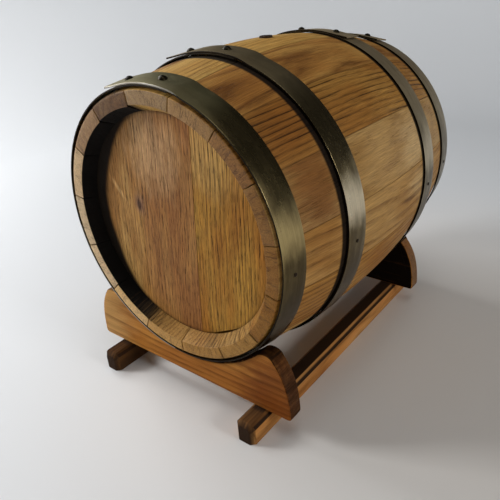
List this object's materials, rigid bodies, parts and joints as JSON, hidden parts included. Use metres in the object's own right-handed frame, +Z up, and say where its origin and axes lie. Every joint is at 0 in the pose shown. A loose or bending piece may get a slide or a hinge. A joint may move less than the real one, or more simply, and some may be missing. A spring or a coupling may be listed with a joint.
{
  "type": "tabletop oak wine barrel on a stand",
  "caption": "Small bulging cask of oak staves and boarded heads held by riveted metal hoops, with a wooden bung on top, lying on a wooden stand made of saddle boards on rails, for keeping wine.",
  "frame": {"origin": "on the surface the stand rests on, under the middle of the whole object's box", "axes": "+Z up; the barrel's axis runs along Y and its front head faces -Y; +X is to the right seen from the front"},
  "size_m": [0.2659, 0.33, 0.2976],
  "materials": {
    "stave_oak": "oiled oak with strong grain, satin",
    "head_oak": "oiled oak, satin",
    "dowel_beech": "bare turned beech",
    "hoop_steel": "strip with an aged bronze-olive tone, satin",
    "rivet_steel": "dark, worn on the crowns",
    "bung_oak": "bare turned wood, grubby",
    "stand_pine": "brown stained softwood, scorched edges, satin",
    "screw_steel": "zinc plated"
  },
  "bodies": {
    "stand": {"front_cradle": "stand_pine", "rear_cradle": "stand_pine", "left_rail": "stand_pine", "right_rail": "stand_pine", "front_left_screw": "screw_steel", "front_right_screw": "screw_steel", "rear_left_screw": "screw_steel", "rear_right_screw": "screw_steel"},
    "barrel": {"stave_01": "stave_oak", "stave_02": "stave_oak", "stave_03": "stave_oak", "stave_04": "stave_oak", "stave_05": "stave_oak", "stave_06": "stave_oak", "stave_07": "stave_oak", "stave_08": "stave_oak", "stave_09": "stave_oak", "stave_10": "stave_oak", "stave_11": "stave_oak", "stave_12": "stave_oak", "stave_13": "stave_oak", "stave_14": "stave_oak", "stave_15": "stave_oak", "front_head_board_1": "head_oak", "front_head_board_2": "head_oak", "front_head_board_3": "head_oak", "rear_head_board_1": "head_oak", "rear_head_board_2": "head_oak", "rear_head_board_3": "head_oak", "front_head_dowel_1": "dowel_beech", "front_head_dowel_2": "dowel_beech", "front_head_dowel_3": "dowel_beech", "front_head_dowel_4": "dowel_beech", "rear_head_dowel_1": "dowel_beech", "rear_head_dowel_2": "dowel_beech", "rear_head_dowel_3": "dowel_beech", "rear_head_dowel_4": "dowel_beech", "front_head_hoop": "hoop_steel", "front_quarter_hoop": "hoop_steel", "rear_head_hoop": "hoop_steel", "rear_quarter_hoop": "hoop_steel", "front_head_hoop_rivet_1": "rivet_steel", "front_head_hoop_rivet_2": "rivet_steel", "front_quarter_hoop_rivet_1": "rivet_steel", "front_quarter_hoop_rivet_2": "rivet_steel", "rear_head_hoop_rivet_1": "rivet_steel", "rear_head_hoop_rivet_2": "rivet_steel", "rear_quarter_hoop_rivet_1": "rivet_steel", "rear_quarter_hoop_rivet_2": "rivet_steel", "front_head_hoop_nail": "rivet_steel", "front_quarter_hoop_nail": "rivet_steel", "rear_head_hoop_nail": "rivet_steel", "rear_quarter_hoop_nail": "rivet_steel"},
    "bung": {"bung": "bung_oak"}
  },
  "joints": [
    {"name": "barrel_lift", "type": "slide", "parent": "stand", "child": "barrel", "axis": [0, 0, 1], "range_m": [0, 0.08]},
    {"name": "bung_pull", "type": "slide", "parent": "barrel", "child": "bung", "axis": [0, 0, 1], "range_m": [0, 0.05]}
  ]
}
